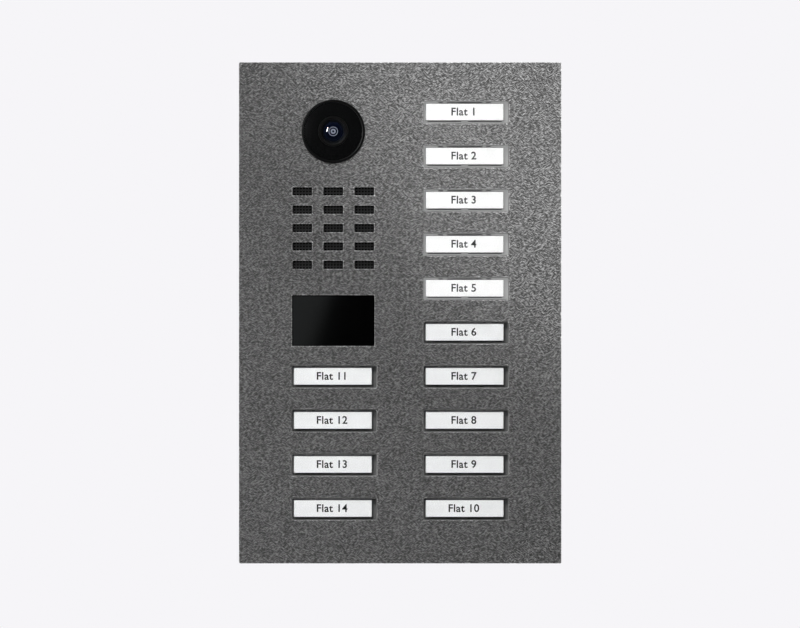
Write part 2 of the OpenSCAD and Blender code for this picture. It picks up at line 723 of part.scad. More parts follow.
module ribbon_cables() color("lightgray") {
  ribbon_t = 0.5;
  ribbon_w = 16;
  steps = 10;
  plug_y = button_board_y + 1.2;
  // Camera board to the main board
  housing_clear_y = camera_housing_y + 0.6;
  translate([audio_x, 0, 0]) side_profile(strip([max(main_rear_y + 0.6, housing_clear_y), main_top_z - 6],
    [housing_clear_y, camera_z - 13], ribbon_t, steps), ribbon_w);
  // Main board to the left button board
  translate([audio_x, 0, 0]) side_profile(strip([main_y - 1.8, main_bottom_z + 12],
    [plug_y, row_z(right_count - left_count) - 2], ribbon_t, steps), ribbon_w);
  // Main board to the right button board
  translate([0, 0, grille_z - 20 - ribbon_w / 2]) rotate([0, 0, 90]) linear_extrude(ribbon_w)
    polygon(strip([main_y - 1.8, -(audio_x + main_half_w - 8)],
      [plug_y, -(button_column_x - button_board_w / 2 + 10)], ribbon_t, steps));
}

module tamper_switch() color("black") translate([audio_x + tamper_x, 0, window_z + tamper_z]) difference() {
  slab(tamper_size, tamper_size, main_rear_y, main_rear_y + tamper_body_h, 0.8);
  rod(tamper_bore_r, main_rear_y + 1, main_rear_y + tamper_body_h + cut);
}

module tamper_plunger() color("orangered") translate([audio_x + tamper_x, 0, window_z + tamper_z]) {
  rod(tamper_rod_r, main_rear_y + 1.4, -1.4);
  rod(3.2, -1.5, 0);
}

// ---- Drawing ----

front_panel();
mounting_frame();
frame_gasket();
weld_studs();
stud_nuts();
panel_brackets();
locking_screws();
camera_bezel();
camera_window();
lens_barrel();
front_lens();
camera_board();
camera_housing();
grille_mesh();
speaker_basket();
speaker_cone();
speaker_magnet();
microphone();
sensor_window();
motion_sensor();
reader_board();
button_housings();
left_button_board();
right_button_board();
call_switches();
main_board();
terminal_blocks();
network_jack();
electronics_cover();
ribbon_cables();
tamper_switch();
tamper_plunger();
for (i = [0:button_count - 1]) {
  button_cap(i);
  button_tray(i);
}
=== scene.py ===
# %% [markdown]
# # A door intercom panel, dressed over its CAD frame
# The CAD model is the frame: it holds the sizes and says what moves. Everything made here is either a finish for
# one of its nodes, a softer-edged copy of one, or a small piece that the CAD model leaves out, such as a name card,
# a spring or a chip. The station faces -Y, the wall is the plane y = 0, and +Z is up.

# %% Load the frame
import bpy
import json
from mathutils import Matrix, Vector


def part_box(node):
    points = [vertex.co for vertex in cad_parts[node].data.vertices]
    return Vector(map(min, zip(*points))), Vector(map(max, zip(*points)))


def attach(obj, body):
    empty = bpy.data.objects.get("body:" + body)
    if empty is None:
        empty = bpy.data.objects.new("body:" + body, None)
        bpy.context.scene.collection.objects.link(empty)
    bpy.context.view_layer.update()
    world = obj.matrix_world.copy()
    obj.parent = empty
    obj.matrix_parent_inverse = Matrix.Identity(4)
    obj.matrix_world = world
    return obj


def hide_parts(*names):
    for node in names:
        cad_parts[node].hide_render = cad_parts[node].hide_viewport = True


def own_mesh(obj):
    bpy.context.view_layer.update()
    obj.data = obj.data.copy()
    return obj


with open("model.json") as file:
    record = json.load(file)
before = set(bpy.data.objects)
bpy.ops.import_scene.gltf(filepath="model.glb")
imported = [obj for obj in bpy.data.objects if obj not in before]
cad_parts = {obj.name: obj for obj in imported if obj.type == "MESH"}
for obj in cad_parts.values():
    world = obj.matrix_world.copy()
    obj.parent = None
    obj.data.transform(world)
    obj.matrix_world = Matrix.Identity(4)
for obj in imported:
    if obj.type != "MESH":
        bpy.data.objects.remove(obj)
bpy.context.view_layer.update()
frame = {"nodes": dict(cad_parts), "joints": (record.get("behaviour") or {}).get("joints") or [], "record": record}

import json
import math
import random

import bmesh
import bpy
from mathutils import Matrix, Vector

MM = 0.001
STATION = "station"


# %% Measuring and making
def span(node):
    """The lowest and highest corner of a CAD node, as vectors."""
    low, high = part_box(node)
    return Vector(low), Vector(high)


def middle(node):
    low, high = span(node)
    return (low + high) / 2


def new_object(name, data):
    """Makes an object from a mesh, a lamp, a camera or a text and puts it in the scene."""
    made = bpy.data.objects.new(name, data)
    bpy.context.scene.collection.objects.link(made)
    return made


def new_mesh(name, bm):
    """Turns a bmesh into a mesh and frees it."""
    mesh = bpy.data.meshes.new(name)
    bm.to_mesh(mesh)
    bm.free()
    return mesh


panel_low, panel_high = span("front_panel")
front_y = panel_low.y
panel_middle = middle("front_panel")
button_numbers = [name[-2:] for name in sorted(frame["nodes"]) if name.startswith("button_cap_")]
print("panel:", [round(side / MM, 1) for side in panel_high - panel_low], "mm, buttons:", len(button_numbers))

# %% [markdown]
# ## Camera
# The view is square to the panel from far away, so the lens is very long: the panel's sides stay parallel and
# its edges aren't seen. The distance follows from the width of the scene that the picture takes in.

# %% Camera
LENS_MM, SENSOR_MM = 200, 36
SCENE_PER_PANEL = 2.481  # the picture's width over the panel's
SHIFT_X, SHIFT_Z = -0.0001, -0.0008  # metres off the panel's middle

scene_w = (panel_high.x - panel_low.x) * SCENE_PER_PANEL
camera_data = bpy.data.cameras.new("long_lens")
camera_data.lens = LENS_MM
camera_data.sensor_width = SENSOR_MM
camera_data.clip_start, camera_data.clip_end = 0.05, 30
camera = new_object("camera", camera_data)
camera.location = (SHIFT_X, front_y - scene_w * LENS_MM / SENSOR_MM, panel_middle.z + SHIFT_Z)
camera.rotation_euler = (math.radians(90), 0, 0)
bpy.context.scene.camera = camera
print("camera distance:", round(front_y - camera.location.y, 3), "m")

# %% [markdown]
# ## Helpers for nodes
# World and materials are built from the same few kinds of nodes, so short functions add them. Every finish is a
# Principled surface and is kept by its name. Patterns use the object's own coordinates, so they stay put when a
# piece moves, and they survive being exported.

# %% Node helpers
finishes = {}


def new_material(name):
    """A new finish, kept by its name: the material, its node tree and its shader."""
    material = finishes[name] = bpy.data.materials.new(name)
    material.use_nodes = True
    return material, material.node_tree, material.node_tree.nodes["Principled BSDF"]


def glowing(material, colour, strength):
    shader = material.node_tree.nodes["Principled BSDF"]
    shader.inputs["Emission Color"].default_value = (*colour, 1)
    shader.inputs["Emission Strength"].default_value = strength


def put(tree, kind, **values):
    """Adds a node and sets its plain input values by socket name."""
    node = tree.nodes.new("ShaderNode" + kind)
    for name, value in values.items():
        node.inputs[name.replace("_", " ")].default_value = value
    return node


def mix_colours(tree, share, first, second):
    """Blends two colours; each may be a plain colour or a socket."""
    node = tree.nodes.new("ShaderNodeMix")
    node.data_type = "RGBA"
    for socket, value in ((node.inputs[6], first), (node.inputs[7], second)):
        if isinstance(value, bpy.types.NodeSocket):
            tree.links.new(value, socket)
        else:
            socket.default_value = (*value, 1)
    tree.links.new(share, node.inputs[0])
    return node.outputs[2]


def remap(tree, value, low, high, out_low, out_high, smooth=False):
    node = put(tree, "MapRange", From_Min=low, From_Max=high, To_Min=out_low, To_Max=out_high)
    node.interpolation_type = "SMOOTHSTEP" if smooth else "LINEAR"
    tree.links.new(value, node.inputs["Value"])
    return node.outputs["Result"]


def maths(tree, operation, first, second):
    node = tree.nodes.new("ShaderNodeMath")
    node.operation = operation
    for socket, value in ((node.inputs[0], first), (node.inputs[1], second)):
        if isinstance(value, bpy.types.NodeSocket):
            tree.links.new(value, socket)
        else:
            socket.default_value = value
    return node.outputs[0]


def object_coords(tree):
    return tree.nodes.new("ShaderNodeTexCoord").outputs["Object"]


def noise_at(tree, vector, scale, **values):
    """A noise at the given coordinates; its scale may be a number or a socket."""
    noise = put(tree, "TexNoise", **values)
    tree.links.new(vector, noise.inputs["Vector"])
    if isinstance(scale, bpy.types.NodeSocket):
        tree.links.new(scale, noise.inputs["Scale"])
    else:
        noise.inputs["Scale"].default_value = scale
    return noise.outputs[0]


def new_group(name, inputs, outputs):
    """A node group with float inputs and outputs, and its two end nodes."""
    group = bpy.data.node_groups.new(name, "ShaderNodeTree")
    for title, value in inputs.items():
        socket = group.interface.new_socket(title, in_out="INPUT", socket_type="NodeSocketFloat")
        socket.default_value = value
    for title in outputs:
        group.interface.new_socket(title, in_out="OUTPUT", socket_type="NodeSocketFloat")
    return group, group.nodes.new("NodeGroupInput"), group.nodes.new("NodeGroupOutput")


def put_group(tree, group, **values):
    node = tree.nodes.new("ShaderNodeGroup")
    node.node_tree = group
    for name, value in values.items():
        node.inputs[name.replace("_", " ")].default_value = value
    return node


print("node helpers ready")

# %% [markdown]
# ## Stage and light
# The backdrop is a pale sheet that wraps the whole set, which here is the world's colour as the camera meets it.
# The same world lights the object only weakly, because in a dark studio glossy black parts stay black. Rays that
# a shiny part mirrors, or a clear part bends, see a studio that is dark in front of the panel and pale behind it.
# A big soft lamp above the camera does the main work. A second lamp with a wide, soft-edged beam comes from the
# upper right and lifts the panel's upper right corner. A narrow strip on the left makes the small light in the
# lens, and a dim card gives the dark window its slow fade.

# %% World
BACKDROP = (0.922, 0.913, 0.938)
FILL = (0.24, 0.24, 0.24)
DARK_STUDIO, BRIGHT_STUDIO = (0.012, 0.013, 0.014), (0.55, 0.55, 0.57)

bpy.context.scene.view_settings.view_transform = "Standard"
world = bpy.data.worlds.new("pale_studio")
bpy.context.scene.world = world
world.use_nodes = True
tree = world.node_tree
path = tree.nodes.new("ShaderNodeLightPath")
direction = tree.nodes.new("ShaderNodeTexCoord")
axes = tree.nodes.new("ShaderNodeSeparateXYZ")
tree.links.new(direction.outputs["Generated"], axes.inputs[0])
backwards = remap(tree, axes.outputs["Y"], -0.75, 0.3, 0, 1, smooth=True)
studio = mix_colours(tree, backwards, DARK_STUDIO, BRIGHT_STUDIO)
mirrored = maths(tree, "MAXIMUM", path.outputs["Is Glossy Ray"], path.outputs["Is Transmission Ray"])
around = mix_colours(tree, mirrored, FILL, studio)
seen = mix_colours(tree, path.outputs["Is Camera Ray"], around, BACKDROP)
tree.links.new(seen, tree.nodes["Background"].inputs["Color"])
print("world:", world.name)


# %% Lamps
def aim(lamp, target):
    """Turns a lamp so that its beam meets a point."""
    lamp.rotation_euler = (Vector(target) - lamp.location).to_track_quat("-Z", "Y").to_euler()


def area_lamp(name, place, target, size, watts, in_reflections=True, roll_deg=0):
    """A soft rectangular lamp; places and sizes are in metres."""
    data = bpy.data.lights.new(name, "AREA")
    data.shape = "RECTANGLE"
    data.size, data.size_y = size
    data.energy = watts
    lamp = new_object(name, data)
    lamp.location = place
    aim(lamp, target)
    lamp.rotation_euler.rotate_axis("Z", math.radians(roll_deg))
    lamp.visible_camera = lamp.visible_transmission = False
    lamp.visible_glossy = in_reflections


area_lamp("overhead_softbox", (-0.9, -2.8, 3.4), (0, 0, 0), (1.8, 1.2), 168, in_reflections=False)
area_lamp("low_softbox", (0.7, -1.7, -1.4), (0, 0, 0), (1.2, 0.8), 10, in_reflections=False)
area_lamp("lens_strip", (-0.717, -1.475, 0.409), (-0.048, front_y, 0.129), (0.14, 0.50), 5.5, roll_deg=-20)
area_lamp("rear_softbox", (0.9, 1.8, 1.2), (0, 0, 0), (1.4, 1.0), 40)
beam_data = bpy.data.lights.new("corner_beam", "SPOT")
beam_data.energy = 400
beam_data.shadow_soft_size = 0.05
beam_data.spot_size = math.radians(26)
beam_data.spot_blend = 0.26
beam = new_object("corner_beam", beam_data)
beam.location = (1.0, -1.9, 0.9)
aim(beam, (0.40, front_y, 0.40))
beam.visible_glossy = beam.visible_transmission = False

# %% Card for the window's fade
CARD_AHEAD, CARD_GLOW, CARD_TINT = 1.0, 0.36, (0.92, 1.0, 1.0)
CARD_LEFT, CARD_RIGHT_TOP, CARD_RIGHT_LOW, CARD_HALF_Z = -0.15, -0.053, -0.096, 0.06
window_z = middle("sensor_window").z
bm = bmesh.new()
bm.faces.new([bm.verts.new((x, front_y - CARD_AHEAD, window_z + z)) for x, z in
              ((CARD_LEFT, -CARD_HALF_Z), (CARD_RIGHT_LOW, -CARD_HALF_Z),
               (CARD_RIGHT_TOP, CARD_HALF_Z), (CARD_LEFT, CARD_HALF_Z))])
fade_card = new_object("fade_card", new_mesh("fade_card", bm))
card_material, _, card_shader = new_material("fade_card_glow")
card_shader.inputs["Base Color"].default_value = (0, 0, 0, 1)
glowing(card_material, CARD_TINT, CARD_GLOW)
fade_card.data.materials.append(card_material)
fade_card.visible_camera = fade_card.visible_diffuse = fade_card.visible_shadow = False
print("fade card", CARD_AHEAD, "m in front")

# %% Floor
FLOOR_DROP, FLOOR_AHEAD, FLOOR_HALF = 0.12, 0.25, 1.0
bm = bmesh.new()
bmesh.ops.create_grid(bm, x_segments=4, y_segments=4, size=FLOOR_HALF)
bmesh.ops.translate(bm, verts=bm.verts, vec=(0, -FLOOR_AHEAD, panel_low.z - FLOOR_DROP))
floor = new_object("floor", new_mesh("floor", bm))
floor.visible_glossy = floor.visible_transmission = False
print("floor at", round(panel_low.z - FLOOR_DROP, 3), "m")

# %% [markdown]
# ## Shared effects
# Each finish gets its colour, roughness and relief from patterns. Two effects that many finishes share are node
# groups: one for a fine grain, one for the marks that hands, dust and rain leave.

# %% Shared effects
def make_grain():
    """A fine grain: coarse and fine noise together, stretched along Z on request."""
    tree, source, result = new_group("fine grain", {"Scale": 800, "Stretch": 1}, ["Grain"])
    stretch = put(tree, "CombineXYZ", X=1, Y=1)
    tree.links.new(source.outputs["Stretch"], stretch.inputs["Z"])
    stretched = tree.nodes.new("ShaderNodeVectorMath")
    stretched.operation = "DIVIDE"
    tree.links.new(object_coords(tree), stretched.inputs[0])
    tree.links.new(stretch.outputs[0], stretched.inputs[1])
    noise = noise_at(tree, stretched.outputs[0], source.outputs["Scale"], Detail=3.0, Roughness=0.6)
    tree.links.new(remap(tree, noise, 0.3, 0.7, 0, 1), result.inputs["Grain"])
    return tree


def make_marks():
    """Soft blotches and thin dust, from 0 on clean spots to 1 where most has gathered."""
    tree, source, result = new_group("handling marks", {"Scale": 40}, ["Marks"])
    coords = object_coords(tree)
    blotches = noise_at(tree, coords, source.outputs["Scale"], Detail=5.0, Roughness=0.55)
    specks = noise_at(tree, coords, 2500.0, Detail=1.0)
    dust = remap(tree, specks, 0.66, 0.8, 0, 0.6)
    soft = remap(tree, blotches, 0.35, 0.7, 0, 0.7)
    tree.links.new(maths(tree, "MAXIMUM", dust, soft), result.inputs["Marks"])
    return tree


grain_group, marks_group = make_grain(), make_marks()
print("groups:", [group.name for group in bpy.data.node_groups])

# %% [markdown]
# ## Plain finishes
# Moulded plastics, sheet metals, rubber and paper differ in few numbers: two colours that the grain blends, how
# rough the surface is where it's clean and where it's marked, and how deep its texture is. One function makes
# them all, and a list holds their values. Most names are the record's own material slots.

# %% Plain finishes
def finish(name, dark, light, rough, relief_mm, grain, metal=0.0, specular=0.5, stretch=1):
    """A finish with a two-colour grain, a marked roughness and a shallow relief."""
    material, tree, shader = new_material(name)
    shader.inputs["Metallic"].default_value = metal
    shader.inputs["Specular IOR Level"].default_value = specular
    grains = put_group(tree, grain_group, Scale=grain, Stretch=stretch).outputs[0]
    marks = put_group(tree, marks_group).outputs[0]
    tree.links.new(mix_colours(tree, grains, dark, light), shader.inputs["Base Color"])
    tree.links.new(remap(tree, marks, 0, 1, *rough), shader.inputs["Roughness"])
    bump = put(tree, "Bump", Strength=1.0, Distance=relief_mm * MM)
    bump.name = "Bump"
    tree.links.new(grains, bump.inputs["Height"])
    tree.links.new(bump.outputs[0], shader.inputs["Normal"])
    return material


def grey(value, tint=0.0):
    """A grey, slightly blue for a positive tint and slightly warm for a negative one."""
    return (value * (1 - tint), value, value * (1 + tint))


# Dark and light colour, roughness clean and marked, relief in mm, grain; then metal, specular and stretch.
looks = {
    "seal_rubber": (grey(0.008), grey(0.025), (0.85, 0.95), 0.08, 1400),
    "zinc_steel": (grey(0.42, 0.02), grey(0.62, 0.03), (0.3, 0.5), 0.01, 300, 1.0),
    "stainless_steel": (grey(0.45), grey(0.6), (0.22, 0.35), 0.01, 1200, 1.0),
    "black_plastic": (grey(0.0022, 0.06), grey(0.003, 0.06), (0.12, 0.2), 0.001, 900),
    "black_aluminium": (grey(0.002), grey(0.003), (0.38, 0.5), 0.004, 2500, 0.0, 0.25),
    "moulded_plastic": (grey(0.012), grey(0.022), (0.5, 0.65), 0.03, 2200),
    "black_mesh": (grey(0.012), grey(0.018, 0.03), (0.5, 0.7), 0.01, 1800, 0.0, 0.3),
    "pressed_steel": (grey(0.3), grey(0.42), (0.35, 0.5), 0.01, 500, 1.0),
    "cone_paper": (grey(0.012), grey(0.035, -0.05), (0.8, 0.95), 0.05, 1500),
    "sensor_can": ((0.5, 0.47, 0.4), (0.6, 0.57, 0.5), (0.25, 0.35), 0.005, 800, 1.0),
    "switch_plastic": (grey(0.015), grey(0.03), (0.45, 0.6), 0.01, 1500),
    "green_plastic": ((0.02, 0.21, 0.07), (0.03, 0.27, 0.09), (0.4, 0.55), 0.01, 1200),
    "jack_shell": (grey(0.5), grey(0.66), (0.2, 0.34), 0.006, 600, 1.0, 0.5, 6),
    "ribbon_grey": (grey(0.36), grey(0.42), (0.5, 0.62), 0.01, 700),
    "red_plastic": ((0.45, 0.03, 0.015), (0.55, 0.05, 0.02), (0.35, 0.5), 0.01, 1200),
    "gold_contacts": ((0.7, 0.48, 0.14), (0.86, 0.62, 0.22), (0.2, 0.3), 0.003, 900, 1.0),
    "chip_black": (grey(0.01), grey(0.018), (0.55, 0.7), 0.01, 2600),
    "ceramic_beige": ((0.42, 0.32, 0.2), (0.5, 0.4, 0.27), (0.5, 0.6), 0.01, 2000),
    # The cloth's near-total black: painted shade for the dark behind the grille's holes.
    "black_cloth_painted_shade": (grey(0.001), grey(0.002), (0.85, 0.95), 0.05, 3000, 0.0, 0.05),
    "relay_blue": ((0.012, 0.05, 0.2), (0.018, 0.07, 0.26), (0.3, 0.45), 0.01, 1500),
    "capacitor_sleeve": (grey(0.01), grey(0.02), (0.3, 0.45), 0.01, 1500),
    "white_ceramic": (grey(0.7), grey(0.78), (0.4, 0.5), 0.01, 2000),
    "phosphor": ((0.75, 0.6, 0.12), (0.85, 0.7, 0.2), (0.3, 0.4), 0.01, 2500),
    "satin_black": (grey(0.002, 0.05), grey(0.003, 0.05), (0.3, 0.4), 0.004, 2500, 0.0, 0.3),
    "navy_glass": ((0.0015, 0.0028, 0.008), (0.0022, 0.004, 0.011), (0.02, 0.03), 0.0, 900, 0.0, 0.1),
    "lens_ring_painted_reflection": (grey(0.40, -0.06), grey(0.46, -0.06), (0.4, 0.5), 0.002, 2500),
    "printed_ink": (grey(0.014), grey(0.02), (0.6, 0.7), 0.002, 3000, 0.0, 0.2),
    "floor_paint": (grey(0.78), grey(0.82), (0.8, 0.9), 0.05, 60),
}
for name, values in looks.items():
    finish(name, *values)
floor.data.materials.append(finishes["floor_paint"])
print("finishes:", len(finishes))

# %% [markdown]
# ## Wrinkled coat
# The panel and the frame carry a wrinkle powder coat. As it cures, its skin shrinks into short wavy ridges less
# than a millimetre apart. The ridges are a bump, and they are painted into the colour too: light crests are painted
# light, dark valleys are painted shade, and the highest crests get painted glints. A noise that is stretched three
# times in one direction has such strokes. Two of them, leaning to opposite sides, take turns from patch to patch.

# %% Wrinkled coat
WRINKLE_MM, WRINKLE_LENGTH, PATCH_MM, LEAN_DEG = 0.66, 3.3, 3.8, 30
# Painted light and shade on the wrinkles: dark valleys, lighter crests and bright painted glints on the highest
# crests.
COAT_VALLEY_PAINTED_SHADE, COAT_CREST_PAINTED_LIGHT, COAT_PAINTED_GLINT = grey(0.027, -0.01), grey(0.079), grey(0.15)
COAT_RELIEF_MM, EDGE_HIGHLIGHT_LIFT = 0.32, 2.9


def make_wrinkles():
    """Short wavy ridges, wider than tall: 0 in the valleys and 1 on the crests."""
    tree, source, result = new_group("wrinkles", {"Scale": 1 / (WRINKLE_MM * MM)}, ["Ridges"])
    coords = object_coords(tree)
    layers = []
    for lean in (LEAN_DEG, -LEAN_DEG):
        leaning = put(tree, "VectorRotate", Angle=math.radians(lean))
        leaning.rotation_type = "Y_AXIS"
        tree.links.new(coords, leaning.inputs["Vector"])
        squeezed = tree.nodes.new("ShaderNodeVectorMath")
        squeezed.operation = "MULTIPLY"
        squeezed.inputs[1].default_value = (1 / WRINKLE_LENGTH, 1, 1)
        tree.links.new(leaning.outputs[0], squeezed.inputs[0])
        layers.append(noise_at(tree, squeezed.outputs[0], source.outputs["Scale"], Detail=0.0, Distortion=0.25))
    patches = noise_at(tree, coords, 1 / (PATCH_MM * MM), Detail=0.0)
    turn = remap(tree, patches, 0.44, 0.56, 0, 1, smooth=True)
    side = tree.nodes.new("ShaderNodeMix")
    for socket, value in zip(side.inputs[:1] + side.inputs[2:4], (turn, *layers)):
        tree.links.new(value, socket)
    tree.links.new(remap(tree, side.outputs[0], 0.34, 0.68, 0, 1), result.inputs["Ridges"])
    return tree


def wrinkled_coat(name, lift=1.0):
    """The coat on sheet metal; lift lightens all its colours."""
    _, tree, shader = new_material(name)
    valley, crest, glint = ([c * lift for c in colour] for colour in (COAT_VALLEY_PAINTED_SHADE, COAT_CREST_PAINTED_LIGHT, COAT_PAINTED_GLINT))
    ridges = put_group(tree, wrinkle_group).outputs[0]
    marks = put_group(tree, marks_group, Scale=25).outputs[0]
    # The ridges paint the colour: painted shade in the valleys, painted light on the crests, painted glints on top.
    low = mix_colours(tree, remap(tree, ridges, 0, 0.6, 0, 1), valley, crest)
    high = mix_colours(tree, remap(tree, ridges, 0.6, 1.0, 0, 1), low, glint)
    tree.links.new(high, shader.inputs["Base Color"])
    tree.links.new(remap(tree, marks, 0, 1, 0.55, 0.7), shader.inputs["Roughness"])
    bump = put(tree, "Bump", Strength=1.0, Distance=COAT_RELIEF_MM * MM)
    tree.links.new(ridges, bump.inputs["Height"])
    tree.links.new(bump.outputs[0], shader.inputs["Normal"])


wrinkle_group = make_wrinkles()
wrinkled_coat("coated_steel")
# A lighter copy of the coat for its bevels: a painted highlight along the edges.
wrinkled_coat("coat_edge_painted_highlight", EDGE_HIGHLIGHT_LIFT)
print("coat ridges:", WRINKLE_MM, "mm apart")

# %% [markdown]
# ## Clear and smoked plastic, and coated glass
# The button caps are clear polycarbonate. Light has to pass through them to the cards, so each cap will cast no
# shadow, and fine scratches only change its roughness. A cap's rounded edges are a lighter, partly opaque grey: a
# painted highlight that frames the card in thin lines of light. The sensor window is so dark that it can be an
# opaque gloss black from the front: infrared light passes it, visible light hardly does. The lens is glass with a
# bluish coating, which a blue tint in its colour stands for.

# %% Clear finishes
def clear_finish(name, tint, ior, rough, clarity=1.0):
    """Glass or clear plastic; a clarity below 1 makes part of it an opaque skin."""
    _, tree, shader = new_material(name)
    shader.inputs["Transmission Weight"].default_value = clarity
    shader.inputs["IOR"].default_value = ior
    marks = put_group(tree, marks_group, Scale=90).outputs[0]
    tree.links.new(mix_colours(tree, marks, tint, [c * 0.96 for c in tint]), shader.inputs["Base Color"])
    tree.links.new(remap(tree, marks, 0, 1, *rough), shader.inputs["Roughness"])


POLYCARBONATE_IOR, LENS_IOR = 1.58, 1.6
clear_finish("clear_plastic", (0.985, 0.99, 0.99), POLYCARBONATE_IOR, (0.0, 0.06))
clear_finish("coated_glass", (0.62, 0.72, 0.95), LENS_IOR, (0.0, 0.01))
# The caps' rounded edges: a lighter grey that is a painted highlight.
clear_finish("cap_edge_painted_highlight", grey(0.42), POLYCARBONATE_IOR, (0.3, 0.4), 0.6)
finish("smoked_plastic", grey(0.0001), grey(0.0003), (0.065, 0.08), 0.0002, 900)
print("clear finishes ready")

# %% [markdown]
# ## Cards and light guides
# Behind each cap a paper card shows a name, and a tray holds a white light guide against the card's back. In a
# button that is on, the guide and the card glow: painted light standing in for the LEDs behind them, which are no
# lamps here. The tray is moulded in two colours: its front block is white, and the plate behind it is dark, so that
# light doesn't leak round the card. The plate's dark grey is also painted shade for the shadow that the clear caps
# don't cast. Its material tells the two apart by depth. Every card has a faint glow as well: painted light that
# lifts the paper's white.

# %% Card and tray finishes
PLATE_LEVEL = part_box("button_cap_01")[1].y - 0.05 * MM
WARM_WHITE = (1.0, 0.985, 0.965)


def tray_finish(name, plate, plate_glow):
    """White in front of the plate's level; the given grey behind it."""
    material = finish(name, grey(0.8), grey(0.84), (0.4, 0.5), 0.004, 1500)
    tree = material.node_tree
    shader = tree.nodes["Principled BSDF"]
    parts = tree.nodes.new("ShaderNodeSeparateXYZ")
    tree.links.new(object_coords(tree), parts.inputs[0])
    behind = maths(tree, "GREATER_THAN", parts.outputs["Y"], PLATE_LEVEL)
    white = shader.inputs["Base Color"].links[0].from_socket
    tree.links.new(mix_colours(tree, behind, white, plate), shader.inputs["Base Color"])
    if plate_glow:
        glow = mix_colours(tree, behind, grey(0.5), grey(plate_glow))
        tree.links.new(glow, shader.inputs["Emission Color"])
        shader.inputs["Emission Strength"].default_value = 1.0


# The plate's dark grey is partly the tray's own moulding and partly painted shade for the shadow the caps don't
# cast.
tray_finish("light_guide", grey(0.17), 0)
# Lit buttons: the guide, the card and its print glow, painted light for the LEDs behind them.
tray_finish("lit_light_guide", grey(0.18), 0.25)
# A faint glow on every card: painted light that lifts the paper's white.
glowing(finish("card_paper", grey(0.88, 0.004), grey(0.90, 0.004), (0.6, 0.7), 0.004, 2200), (1, 1, 1), 0.11)
glowing(finish("lit_card_paper", grey(0.83), grey(0.86), (0.6, 0.7), 0.004, 2200), WARM_WHITE, 0.28)
glowing(finish("lit_ink", grey(0.03), grey(0.045), (0.6, 0.7), 0.002, 3000), WARM_WHITE, 0.006)
print("trays turn dark behind y =", round(PLATE_LEVEL / MM, 2), "mm")

# %% [markdown]
# ## Circuit boards
# A board is green lacquer over copper. Thin straight tracks run both ways under the lacquer, and plated holes dot
# it. Both come from repeating patterns in the board's plane.

# %% Circuit board finish
LACQUER_DARK, LACQUER_LIGHT = (0.008, 0.07, 0.03), (0.012, 0.09, 0.038)
OVER_TRACK, PLATED = (0.02, 0.16, 0.06), (0.55, 0.5, 0.36)


def board_finish(name):
    """Lacquer, tracks along X and Z, and plated holes."""
    material = finish(name, LACQUER_DARK, LACQUER_LIGHT, (0.25, 0.4), 0.004, 1200)
    tree = material.node_tree
    shader = tree.nodes["Principled BSDF"]
    coords = object_coords(tree)
    lacquer = shader.inputs["Base Color"].links[0].from_socket
    tracks = []
    for channel, direction in enumerate("XZ"):
        wave = put(tree, "TexWave", Scale=260.0, Distortion=0.0, Detail=0.0)
        wave.bands_direction = direction
        cells = put(tree, "TexVoronoi", Scale=95.0)
        shade = tree.nodes.new("ShaderNodeSeparateColor")
        tree.links.new(coords, wave.inputs["Vector"])
        tree.links.new(coords, cells.inputs["Vector"])
        tree.links.new(cells.outputs["Color"], shade.inputs[0])
        chosen = maths(tree, "GREATER_THAN", shade.outputs[channel], 0.55)
        lines = remap(tree, wave.outputs["Fac"], 0.62, 0.72, 0, 1)
        tracks.append(maths(tree, "MULTIPLY", lines, chosen))
    tracked = mix_colours(tree, maths(tree, "MAXIMUM", *tracks), lacquer, OVER_TRACK)
    dots = put(tree, "TexVoronoi", Scale=210.0, Randomness=0.75)
    tree.links.new(coords, dots.inputs["Vector"])
    plated = remap(tree, dots.outputs["Distance"], 0.10, 0.13, 1, 0)
    tree.links.new(mix_colours(tree, plated, tracked, PLATED), shader.inputs["Base Color"])
    tree.links.new(plated, shader.inputs["Metallic"])


board_finish("circuit_board")
print("board finish ready")

# %% [markdown]
# ## Threads and ribbon wires
# Screw threads on the welded studs and the wires of the flat cables are ribs. A wave pattern gives their relief.

# %% Ribbed finishes
WAVES_PER_UNIT = 20 / (2 * math.pi)
THREAD_PITCH_MM, THREAD_DEPTH_MM = 0.5, 0.25
WIRE_PITCH_MM, WIRE_DEPTH_MM = 1.27, 0.4


def ribbed(name, axis, pitch_mm, depth_mm):
    """Adds ribs square to an axis to a finish's relief."""
    tree = finishes[name].node_tree
    wave = put(tree, "TexWave", Scale=1 / pitch_mm / MM / WAVES_PER_UNIT, Distortion=0.0, Detail=0.0)
    wave.bands_direction = axis
    tree.links.new(object_coords(tree), wave.inputs["Vector"])
    ribs = put(tree, "Bump", Strength=1.0, Distance=depth_mm * MM)
    tree.links.new(wave.outputs["Fac"], ribs.inputs["Height"])
    tree.links.new(tree.nodes["Bump"].outputs[0], ribs.inputs["Normal"])
    tree.links.new(ribs.outputs[0], tree.nodes["Principled BSDF"].inputs["Normal"])


finish("threaded_zinc", *looks["zinc_steel"])
finish("cross_ribbon_grey", *looks["ribbon_grey"])
ribbed("threaded_zinc", "Y", THREAD_PITCH_MM, THREAD_DEPTH_MM)
ribbed("ribbon_grey", "X", WIRE_PITCH_MM, WIRE_DEPTH_MM)
ribbed("cross_ribbon_grey", "Z", WIRE_PITCH_MM, WIRE_DEPTH_MM)
print("ribbed finishes ready")

# %% [markdown]
# ## Softer edges
# A CAD edge is perfectly sharp, and no real edge is. Where an edge shows, the CAD node gives way to a copy: its
# loose triangles are merged, flat faces are joined again, and a bevel rounds each sharp edge. The bevel can have
# its own material. The coated sheet's bevels get a much lighter copy of the coat: a painted highlight along every
# edge.

# %% Softened copies
SHARP = math.radians(30)
FLAT = math.radians(0.5)
slot_of = {part["node"]: part["material_slot"] for part in frame["record"]["subparts"]}


def add_piece(name, mesh, body, materials):
    """Puts a mesh in the scene as a piece that rides on a body, with its finishes."""
    for material in materials:
        mesh.materials.append(finishes[material])
    piece = new_object(name, mesh)
    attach(piece, body)
    return piece


